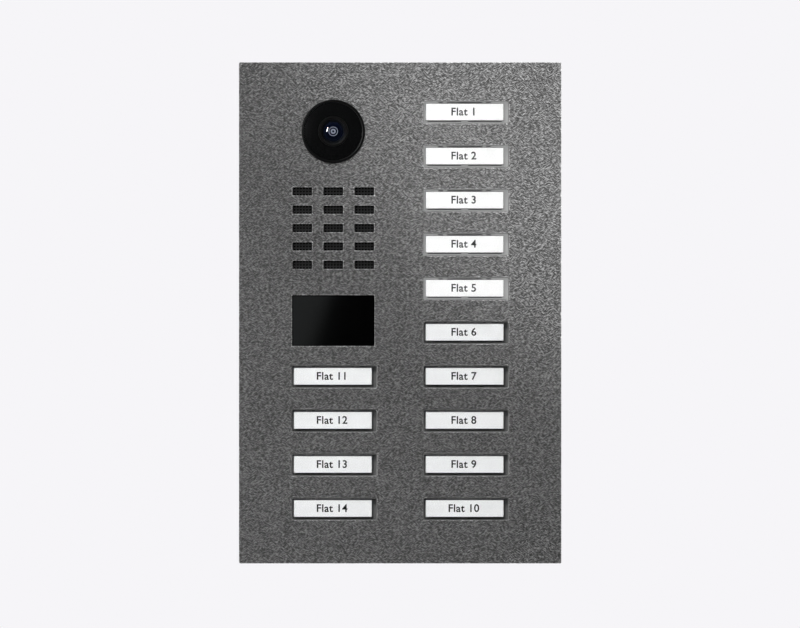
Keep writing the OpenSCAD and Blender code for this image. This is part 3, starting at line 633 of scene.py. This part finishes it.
def soften(node, name, body, width_mm, edge_finish=None, clamp=True):
    """Replaces a CAD node by a copy with rounded edges."""
    bm = bmesh.new()
    bm.from_mesh(frame["nodes"][node].data)
    bmesh.ops.remove_doubles(bm, verts=bm.verts, dist=0.001 * MM)
    bmesh.ops.dissolve_limit(bm, angle_limit=FLAT, verts=bm.verts, edges=bm.edges)
    for face in bm.faces:
        face.smooth = True
        face.material_index = 0
    mesh = new_mesh(name, bm)
    mesh.set_sharp_from_angle(angle=SHARP)
    slot = slot_of[node]
    piece = add_piece(name, mesh, body, [slot] + ([edge_finish] if edge_finish else []))
    bevel = piece.modifiers.new("rounded edges", "BEVEL")
    bevel.width = width_mm * MM
    bevel.segments = 2
    bevel.limit_method = "ANGLE"
    bevel.angle_limit = SHARP
    bevel.harden_normals = True
    bevel.use_clamp_overlap = clamp
    if edge_finish:
        bevel.material = 1
    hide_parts(node)
    return piece


# The coated sheets' bevels take the painted edge highlight.
soften("front_panel", "coated_front_panel", STATION, 0.4, "coat_edge_painted_highlight", clamp=False)
soften("mounting_frame", "coated_mounting_frame", STATION, 0.35, "coat_edge_painted_highlight", clamp=False)
for node, width_mm in (("sensor_window", 0.25), ("network_jack", 0.3), ("speaker_basket", 0.3),
                       ("speaker_magnet", 0.3), ("panel_brackets", 0.25), ("locking_screws", 0.3),
                       ("stud_nuts", 0.3), ("tamper_switch", 0.3), ("lens_barrel", 0.12)):
    soften(node, "rounded_" + node, STATION, width_mm)
for node, width_mm in (("button_housings", 0.25), ("camera_housing", 0.4), ("electronics_cover", 0.4),
                       ("terminal_blocks", 0.2)):
    soften(node, "rounded_" + node, STATION, width_mm, clamp=False)
soften("tamper_plunger", "rounded_tamper_plunger", "tamper_plunger", 0.3)

# %% [markdown]
# ## Clear caps
# A cap is a clear plastic box with a flange behind the panel and a pocket for the card. Its edges are rounded, and
# a lighter grey on them is a painted highlight: thin lines of light. Cycles would let a clear solid throw a dark
# shadow, so the caps throw none.

# %% Caps
# Each cap's bevels take the lighter edge grey: a painted highlight.
for number in button_numbers:
    cap = soften(f"button_cap_{number}", f"clear_button_cap_{number}", f"call_button_{number}", 0.3, "cap_edge_painted_highlight")
    cap.visible_shadow = False
print("caps:", len(button_numbers))

# %% [markdown]
# ## Simple shapes that repeat
# Most small pieces are blocks with eased edges, round pieces turned on an axis square to the wall, or rods. Three
# helpers make them by operators: a cube that is scaled and bevelled, a profile that is spun, and a cone tool's
# cylinder. All three add to a bmesh, so many small parts of one finish can share a piece.

# %% Shape helpers
def edges_of(verts):
    """The edges that meet any of the vertices, each once and in a fixed order."""
    return list(dict.fromkeys(edge for vert in verts for edge in vert.link_edges))


def ease(bm, edges, width_mm, segments=2):
    bmesh.ops.bevel(bm, geom=edges, offset=width_mm * MM, offset_type="OFFSET", segments=segments,
                    profile=0.5, affect="EDGES", clamp_overlap=True, material=-1)


def block(bm, middle_mm, size_mm, round_mm=0.0, segments=2):
    """A box with eased edges; places and sizes are in millimetres."""
    verts = bmesh.ops.create_cube(bm, size=MM)["verts"]
    bmesh.ops.scale(bm, vec=size_mm, verts=verts)
    bmesh.ops.translate(bm, vec=Vector(middle_mm) * MM, verts=verts)
    if round_mm:
        ease(bm, edges_of(verts), round_mm, segments)


def turned(bm, x_mm, z_mm, profile_mm, steps=64, closed=False):
    """Spins (radius, y) points about an axis square to the wall; closed joins the last point to the first."""
    verts = [bm.verts.new(Vector((x_mm + r, y, z_mm)) * MM) for r, y in profile_mm]
    edges = [bm.edges.new(pair) for pair in zip(verts, verts[1:])]
    if closed:
        edges.append(bm.edges.new((verts[-1], verts[0])))
    bmesh.ops.spin(bm, geom=verts + edges, cent=Vector((x_mm, 0, z_mm)) * MM, axis=(0, 1, 0),
                   angle=2 * math.pi, steps=steps, use_merge=True, use_duplicate=False)


def rod(bm, x_mm, z_mm, radius_mm, y0_mm, y1_mm, segments=20, round_mm=0.0):
    """A round rod square to the wall between two levels."""
    turn = Matrix.Rotation(math.radians(90), 4, "X")
    place = Matrix.Translation(Vector((x_mm, (y0_mm + y1_mm) / 2, z_mm)) * MM)
    made = bmesh.ops.create_cone(bm, cap_ends=True, segments=segments, radius1=radius_mm * MM,
                                 radius2=radius_mm * MM, depth=(y1_mm - y0_mm) * MM, matrix=place @ turn)
    if round_mm:
        rims = [edge for edge in edges_of(made["verts"])
                if abs(edge.verts[0].co.y - edge.verts[1].co.y) < 1e-7]
        ease(bm, rims, round_mm)


def to_piece(bm, name, body, materials):
    """Merges doubles, points the faces outwards, and adds the mesh as a smooth-shaded piece."""
    bmesh.ops.remove_doubles(bm, verts=bm.verts, dist=0.0005 * MM)
    bmesh.ops.recalc_face_normals(bm, faces=bm.faces)
    for face in bm.faces:
        face.smooth = True
    mesh = new_mesh(name, bm)
    mesh.set_sharp_from_angle(angle=SHARP)
    return add_piece(name, mesh, body, materials)


def in_mm(node):
    """Lowest and highest corners of a node, in millimetres."""
    low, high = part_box(node)
    return low / MM, high / MM


def centre_mm(node):
    """A node's middle as seen from the front: x and z in millimetres."""
    low, high = in_mm(node)
    return (low.x + high.x) / 2, (low.z + high.z) / 2


def buttons_on(side):
    """Middles of the buttons to the right (1) or left (-1) of the panel's centre line."""
    middles = [centre_mm(f"button_tray_{number}") for number in button_numbers]
    return [(x, z) for x, z in middles if x * side > 0]


print("helpers ready")

# %% [markdown]
# ## Cards, names and latches
# Each card is a slip of paper that slides into the cap's pocket, a little left of the middle. Its print is a text
# curve made into a mesh; the words are only flat numbers. Black tongues on the tray snap into notches above the
# card and show through the clear plastic as dashes, and a short ledge shows below.

# %% Cards and print
CARD_THICK, CARD_H = 0.3, 11.8
CARD_MM = (55.4, CARD_THICK, CARD_H)
CARD_SHIFT_X, CARD_SHIFT_Z = -1.0, 0.2
CAP_FACE_MM, CARD_GAP, PRINT_GAP = 2.0, 0.07, 0.02
TEXT_MM, TEXT_SHIFT_X = 7.7, -0.7
STROKE_MM, PRINT_HALF_MM, LETTER_SPACE = 0.14, 0.01, 1.06
LIT = button_numbers[:5]
TONGUES = ((0, 24.4), (-17.1, 2.6), (17.1, 2.6))  # shift from the card's middle, and width
TONGUE_DEPTH, LEDGE_DEPTH, LATCH_H = 1.7, 0.4, 0.5
LEDGE_X, LEDGE_W = 14.5, 24
UPPER_GAP, LOWER_GAP, LATCH_ROUND = 0.62, 0.75, 0.1


def printed_words(name, words, place_mm, body, ink):
    """Flat letters that face the viewer."""
    curve = bpy.data.curves.new(name, "FONT")
    curve.body = words
    curve.size = TEXT_MM * MM
    curve.align_x, curve.align_y = "CENTER", "CENTER"
    curve.space_character = LETTER_SPACE
    curve.extrude = PRINT_HALF_MM * MM
    curve.offset = STROKE_MM * MM
    curve.resolution_u = 4
    text = new_object(name + "_curve", curve)
    bpy.context.view_layer.update()
    mesh = bpy.data.meshes.new_from_object(text.evaluated_get(bpy.context.evaluated_depsgraph_get()))
    bpy.data.objects.remove(text)
    mesh.name = name
    mesh.transform(Matrix.Translation(Vector(place_mm) * MM) @ Matrix.Rotation(math.radians(90), 4, "X"))
    mesh.materials.clear()
    return add_piece(name, mesh, body, [ink])


for number in button_numbers:
    body = f"call_button_{number}"
    paper, ink = ("lit_card_paper", "lit_ink") if number in LIT else ("card_paper", "printed_ink")
    low, high = in_mm(f"button_cap_{number}")
    card_x, card_z = (low.x + high.x) / 2 + CARD_SHIFT_X, (low.z + high.z) / 2 + CARD_SHIFT_Z
    card_y = low.y + CAP_FACE_MM + CARD_GAP + CARD_THICK / 2
    card = bmesh.new()
    block(card, (card_x, card_y, card_z), CARD_MM, 0.08, 1)
    to_piece(card, f"name_card_{number}", body, [paper])
    print_place = (card_x + TEXT_SHIFT_X, card_y - CARD_THICK / 2 - PRINT_GAP, card_z)
    printed_words(f"card_print_{number}", f"Flat {int(number)}", print_place, body, ink)
    latches = bmesh.new()
    for shift, width in TONGUES:
        block(latches, (card_x + shift, high.y - 0.9, card_z + CARD_H / 2 + UPPER_GAP),
              (width, TONGUE_DEPTH, LATCH_H), LATCH_ROUND)
    for side in (-1, 1):
        block(latches, (card_x + side * LEDGE_X, high.y - 0.25, card_z - CARD_H / 2 - LOWER_GAP),
              (LEDGE_W, LEDGE_DEPTH, LATCH_H), LATCH_ROUND)
    to_piece(latches, f"tray_latches_{number}", body, ["moulded_plastic"])
print("cards:", len(button_numbers), "lit:", len(LIT))

# %% [markdown]
# ## Return springs
# Two coil springs on each tray's guide pins push the button back out. A circle spun about the pin while it climbs
# makes the coil, which runs from the tray's plate to the housing's floor. The spring stays fixed to the station and
# keeps its length when the button goes in.

# %% Springs
SPRING_R, WIRE_R, TURNS, STEPS_PER_TURN = 2.3, 0.25, 5, 14
PIN_X, PLATE_THICK, HOUSING_DEPTH = 22, 1.2, 5
floor_mm = in_mm("button_housings")[1].y - HOUSING_DEPTH
steps = TURNS * STEPS_PER_TURN
for joint in frame["joints"]:
    if not joint["name"].startswith("call_button"):
        continue
    number = joint["name"].split("_")[2]
    plate_rear = in_mm(f"button_cap_{number}")[1].y + PLATE_THICK
    length = floor_mm - plate_rear - 2 * WIRE_R
    middle_x, middle_z = centre_mm(f"button_tray_{number}")
    coils = bmesh.new()
    for side in (-1, 1):
        x = middle_x + side * PIN_X
        start = Matrix.Translation(Vector((x + SPRING_R, plate_rear + WIRE_R, middle_z)) * MM)
        circle = bmesh.ops.create_circle(coils, segments=6, radius=WIRE_R * MM, matrix=start)["verts"]
        bmesh.ops.spin(coils, geom=circle + edges_of(circle), cent=Vector((x, 0, middle_z)) * MM, axis=(0, 1, 0),
                       dvec=(0, length / steps * MM, 0), angle=2 * math.pi * TURNS, steps=steps,
                       use_merge=False, use_duplicate=False)
    bmesh.ops.holes_fill(coils, edges=coils.edges, sides=0)
    springs = to_piece(coils, f"return_springs_{number}", STATION, ["zinc_steel"])
    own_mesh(springs)

# %% [markdown]
# ## Camera
# The bezel is a turned ring of satin black plastic with a softly crowned lip, which keeps a faint crescent of
# light. The lens barrel is black aluminium. Behind the front lens sit a dark blue second lens, a thin light ring
# and the iris ring with its dark middle. The two rings' light grey is a painted reflection: it stands in for the
# rings of light that the lens elements mirror. Each is a short profile spun about the lens's axis.

# %% Bezel and lenses
camera_low, camera_high = in_mm("camera_bezel")
camera_x, camera_z = centre_mm("camera_bezel")
panel_front = in_mm("front_panel")[0].y
FINE_STEPS = 96


def arc(middle_r, middle_y, radius, start_deg, end_deg, steps=6):
    """Points (r, y) on a circle; 0 degrees points outwards and 90 towards the viewer."""
    angles = [math.radians(start_deg + (end_deg - start_deg) * k / steps) for k in range(steps + 1)]
    return [(middle_r + radius * math.cos(a), middle_y - radius * math.sin(a)) for a in angles]


def sphere_drop(radius, r):
    return radius - math.sqrt(radius * radius - r * r)


bezel_r = (camera_high.x - camera_low.x) / 2
lip_y, LIP_R, SEAT_R = camera_low.y, 0.9, bezel_r - 2.1
crown = [(SEAT_R + 0.1 + share * (bezel_r - LIP_R - SEAT_R), lip_y + 0.10 * (1 - 2 * share) ** 2 * (share < 0.5))
         for share in (0.0, 0.25, 0.5)]
bezel = bmesh.new()
turned(bezel, camera_x, camera_z,
       [(SEAT_R - 1.1, camera_high.y), (bezel_r - 1.9, camera_high.y), (bezel_r - 1.9, panel_front),
        (bezel_r, panel_front)] + arc(bezel_r - LIP_R, lip_y + LIP_R, LIP_R, 0, 90) + crown[::-1]
       + [(SEAT_R + 0.1, lip_y + 1.4), (SEAT_R - 1.1, lip_y + 1.4)], FINE_STEPS, closed=True)
crowned_bezel = to_piece(bezel, "crowned_camera_bezel", STATION, ["satin_black"])
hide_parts("camera_bezel")

lens_low, lens_high = in_mm("front_lens")
glass_r = (lens_high.x - lens_low.x) / 2
FRONT_R, REAR_R, EDGE_MM = 20.0, 14.0, 1.6
front = [(glass_r * k / 14, lens_low.y + sphere_drop(FRONT_R, glass_r * k / 14)) for k in range(15)]
rear_edge = glass_r - EDGE_MM
rear_apex = lens_high.y - sphere_drop(REAR_R, rear_edge)
rear = [(rear_edge * k / 10, rear_apex + sphere_drop(REAR_R, rear_edge * k / 10)) for k in range(10, -1, -1)]
lens = bmesh.new()
turned(lens, camera_x, camera_z, front + [(glass_r, lens_high.y)] + rear, FINE_STEPS)
front_lens = to_piece(lens, "coated_front_lens", STATION, ["coated_glass"])
front_lens.visible_shadow = False
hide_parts("front_lens")

INNER_R, INNER_CURVE = rear_edge - 0.25, 25.0
inner_apex = lens_high.y - 0.45
second = bmesh.new()
dome = [(INNER_R * k / 8, inner_apex + sphere_drop(INNER_CURVE, INNER_R * k / 8)) for k in range(9)]
turned(second, camera_x, camera_z, dome + [(INNER_R, inner_apex + 1.8), (0, inner_apex + 1.8)], 64)
to_piece(second, "second_lens", STATION, ["navy_glass"])


def flat_ring(bm, inner_mm, outer_mm, thick_mm):
    """A thin ring lying on the second lens."""
    y = inner_apex + sphere_drop(INNER_CURVE, outer_mm)
    top = y - thick_mm
    turned(bm, camera_x, camera_z, [(inner_mm, y), (inner_mm, top), (outer_mm, top), (outer_mm, y)], 48, closed=True)


# Two light grey rings on the second lens: a painted reflection of the lens elements.
rings = bmesh.new()
flat_ring(rings, 2.88, 3.34, 0.12)
flat_ring(rings, 0.8, 1.8, 0.1)
to_piece(rings, "lens_painted_reflection_rings", STATION, ["lens_ring_painted_reflection"])
print("camera axis:", round(camera_x, 2), round(camera_z, 2), "lens radius", round(glass_r, 2))

# %% [markdown]
# ## Cloth behind the grille
# A thin black cloth lies between the perforated sheet and the speaker. It keeps rain and dust out. Its near-total
# black is also painted shade, standing in for the dark behind the holes, so that the holes look black. It is a flat
# sheet held on all sides, so a thin block is enough.

# %% Acoustic cloth
mesh_low, mesh_high = in_mm("grille_mesh")
mesh_x, mesh_z = centre_mm("grille_mesh")
CLOTH_MM, CLOTH_GAP, CLOTH_INSET = 0.2, 0.05, 1.0
cloth = bmesh.new()
block(cloth, (mesh_x, mesh_high.y + CLOTH_GAP + CLOTH_MM / 2, mesh_z),
      (mesh_high.x - mesh_low.x - 2 * CLOTH_INSET, CLOTH_MM, mesh_high.z - mesh_low.z - 2 * CLOTH_INSET), 0.05, 1)
# The cloth's near-total black is painted shade for the dark behind the grille's holes.
to_piece(cloth, "acoustic_cloth", STATION, ["black_cloth_painted_shade"])
print("cloth:", CLOTH_MM, "mm thick")

# %% [markdown]
# ## Lights on the button boards
# Two small white LEDs stand in the holes of each housing behind the tray: a moulded body with a yellow phosphor
# window. They give off no light here; the glow of a lit button is painted light on its guide and card. All of one
# board's LEDs share a piece, because nobody would take them off the board.

# %% LEDs
housing_rear = in_mm("button_housings")[1].y
LED_X, LED_SIZE, WINDOW_R = 12, (2.8, 1.6, 2.8), 1.0
for side, board in ((1, "right_button_board"), (-1, "left_button_board")):
    bodies, windows = bmesh.new(), bmesh.new()
    for middle_x, middle_z in buttons_on(side):
        for shift in (-LED_X, LED_X):
            block(bodies, (middle_x + shift, housing_rear - LED_SIZE[1] / 2, middle_z), LED_SIZE, 0.15)
            rod(windows, middle_x + shift, middle_z, WINDOW_R, housing_rear - LED_SIZE[1] - 0.1,
                housing_rear - 1.2, 16)
    to_piece(bodies, board + "_led_bodies", STATION, ["white_ceramic"])
    to_piece(windows, board + "_led_windows", STATION, ["phosphor"])
print("LEDs:", 2 * len(button_numbers))

# %% [markdown]
# ## Parts on the boards
# From behind, the main board shows what a door station needs: a relay for the door opener, capacitors, a processor,
# a crystal, a coil and rows of tiny resistors. They are blocks and rods with eased edges, placed one by one from the
# board's lower left corner, and the small ones are set on a grid with a few left out by a seeded draw.

# %% Main board parts
board_low, board_high = in_mm("main_board")
top = board_high.y
parts = {name: bmesh.new() for name in ("relay_blue", "chip_black", "sensor_can", "capacitor_sleeve",
                                        "ceramic_beige", "switch_plastic", "jack_shell")}


def on_board(u, v, height):
    """The middle of a part that stands on the main board."""
    return (board_low.x + u, top + height / 2, board_low.z + v)


def chip(bm, legs, u, v, width, depth, height, pins, seat=on_board):
    """A chip with rows of legs on its two long sides."""
    block(bm, seat(u, v, height + 0.4), (width, height, depth), 0.15)
    for k in range(pins):
        along = (k - (pins - 1) / 2) * width / pins
        for side in (-1, 1):
            block(legs, seat(u + along, v + side * (depth / 2 + 0.5), 0.5), (0.35, 0.5, 1.1))


block(parts["relay_blue"], on_board(24, 34, 11), (19, 11, 15), 0.5)
for u, v, radius, height in ((41, 34, 4, 9), (51, 34, 4, 9), (46, 24, 3, 7)):
    x, _, z = on_board(u, v, 0)
    rod(parts["capacitor_sleeve"], x, z, radius, top + 0.3, top + height, 24, 0.4)
    rod(parts["sensor_can"], x, z, radius - 0.7, top + height - 0.2, top + height + 0.08, 24)
chip(parts["chip_black"], parts["jack_shell"], 65, 41, 12, 9, 1.6, 10)
chip(parts["chip_black"], parts["jack_shell"], 34, 46, 8, 4.5, 1.5, 6)
block(parts["sensor_can"], on_board(64, 30, 3.5), (10.5, 3.5, 4.3), 1.0, 4)
block(parts["chip_black"], on_board(13, 24, 4), (9, 4, 9), 1.2, 3)
block(parts["switch_plastic"], on_board(39.5, 121, 4.2), (19, 4.2, 4.5), 0.3)
draw = random.Random(7)
COLUMNS, ROWS, COLUMN_STEP, ROW_STEP, LEFT_OUT = 16, 3, 4.4, 3.0, 0.25
for column in range(COLUMNS):
    for row in range(ROWS):
        if draw.random() < LEFT_OUT:
            continue
        place = on_board(6 + column * COLUMN_STEP, 11.5 + row * ROW_STEP, 0.6)
        if place[0] < board_high.x - 18:
            block(parts["ceramic_beige" if draw.random() < 0.5 else "chip_black"], place, (2.0, 0.6, 1.2), 0.1, 1)
for name, bm in parts.items():
    to_piece(bm, "main_board_" + name, STATION, [name])
print("main board parts:", len(parts), "pieces")

# %% Button board parts
LEG_PITCH = 1.27
for side, board in ((1, "right_button_board"), (-1, "left_button_board")):
    rear = in_mm(board)[1].y
    resistors, solder, drivers, legs = (bmesh.new() for _ in range(4))
    for x, z in buttons_on(side):
        for sx in (-1, 1):
            block(resistors, (x + sx * 12, rear + 0.3, z + 4), (2.0, 0.6, 1.2), 0.1, 1)
            block(resistors, (x + sx * 24, rear + 0.3, z - 3), (1.2, 0.6, 2.0), 0.1, 1)
            for sz in (-1, 1):
                rod(solder, x + sx * 3.2, z + sz * 2.2, 0.8, rear - 0.1, rear + 0.5, 12, 0.3)
        block(drivers, (x + 17.5, rear + 0.8, z - 1), (3.9, 1.3, 4.9), 0.15)
        for k in range(4):
            for sx in (-1, 1):
                block(legs, (x + 17.5 + sx * 2.5, rear + 0.3, z - 1 + (k - 1.5) * LEG_PITCH), (1.1, 0.4, 0.4))
    for bm, name, look in ((resistors, "resistors", "chip_black"), (solder, "solder_joints", "jack_shell"),
                           (drivers, "drivers", "chip_black"), (legs, "driver_legs", "jack_shell")):
        to_piece(bm, f"{board}_{name}", STATION, [look])
print("button board parts ready")

# %% [markdown]
# ## Flat cables, terminals and the network socket
# The flat cables keep their CAD shape with eased edges, and each strip's ribs run along it, so the strip that goes
# sideways takes the other ribbed finish. Plugs hold their ends. The terminals get clamp screws in their wells, each
# with a thin black strip across its head: painted shade where the slot's groove would be. The network socket gets
# its eight gold contacts.

# %% Cables and plugs
ribbons = soften("ribbon_cables", "ribbed_ribbon_cables", STATION, 0.12)
ribbons.data.materials.append(finishes["cross_ribbon_grey"])
SIDEWAYS_FROM_X = in_mm("main_board")[1].x - 10
for face in ribbons.data.polygons:
    face.material_index = int(face.center.x > SIDEWAYS_FROM_X * MM)
PLUG_LONG, PLUG_HIGH, PLUG_WIDE = 19, 3.2, 5
plugs = bmesh.new()
ribbon_low, ribbon_high = in_mm("ribbon_cables")
plug_y = in_mm("right_button_board")[1].y + PLUG_HIGH / 2
block(plugs, (camera_x, plug_y, ribbon_low.z + 2), (PLUG_LONG, PLUG_HIGH, PLUG_WIDE), 0.3)
block(plugs, (ribbon_high.x - 2, plug_y, mesh_z - 20), (PLUG_WIDE, PLUG_HIGH, PLUG_LONG), 0.3)
to_piece(plugs, "ribbon_plugs", STATION, ["switch_plastic"])
print("plugs ready")

# %% Terminal screws and socket contacts
terminal_low, terminal_high = in_mm("terminal_blocks")
BLOCKS, BLOCK_MM, GAP_MM, POLES, POLE_MM, SCREW_R = 3, 20.0, 0.2, 4, 5.0, 1.55
screws, slots = bmesh.new(), bmesh.new()
z = terminal_low.z + 0.55 * (terminal_high.z - terminal_low.z)
for index in range(BLOCKS):
    for pole in range(POLES):
        x = terminal_low.x + index * (BLOCK_MM + GAP_MM) + (pole + 0.5) * POLE_MM
        rod(screws, x, z, SCREW_R, terminal_high.y - 2.5, terminal_high.y - 0.9, 20, 0.15)
        # A thin black strip across each head: painted shade for the screw's slot.
        block(slots, (x, terminal_high.y - 0.92, z), (2.6, 0.1, 0.45))
to_piece(screws, "terminal_screws", STATION, ["zinc_steel"])
to_piece(slots, "terminal_screw_slot_shades", STATION, ["chip_black"])
CONTACTS, CONTACT_PITCH = 8, 1.02
jack_low, jack_high = in_mm("network_jack")
jack_x, _ = centre_mm("network_jack")
contacts = bmesh.new()
for k in range(CONTACTS):
    x = jack_x + (k - (CONTACTS - 1) / 2) * CONTACT_PITCH
    block(contacts, (x, jack_high.y - 3.2, jack_low.z + 6), (0.45, 0.35, 9), 0.08, 1)
to_piece(contacts, "socket_contacts", STATION, ["gold_contacts"])
print("screws and contacts ready")

# %% [markdown]
# ## Finishes on the parts that keep their CAD shape
# Boards, gasket, mesh, studs and the other parts whose shape is already right only need their finish. Each takes
# the one of its own slot, with two exceptions: the welded studs are threaded, and the camera's dark dome is gloss
# black.

# %% Finishes on CAD nodes
special = {"weld_studs": "threaded_zinc", "camera_window": "black_plastic"}
kept = [node for node, part in frame["nodes"].items() if not part.hide_render]
for node in kept:
    data = frame["nodes"][node].data
    data.materials.clear()
    data.materials.append(finishes[special.get(node, slot_of[node])])
print("CAD nodes kept:", kept)

# %% [markdown]
# ## What the beam and the card light
# The beam is there for the coat's relief in the upper right corner. The white cards would burn out in it, so it is
# linked to the panel alone, as a flag on a stand would shade the rest. The fade card is linked to the sensor
# window, because the camera's dome would mirror it as a pale patch.

# %% Links from lights to pieces
for light, piece_name in ((beam, "coated_front_panel"), (fade_card, "rounded_sensor_window")):
    receivers = bpy.data.collections.new("lit_by_" + light.name)
    receivers.objects.link(bpy.data.objects[piece_name])
    light.light_linking.receiver_collection = receivers
    print(light.name, "lights", piece_name)
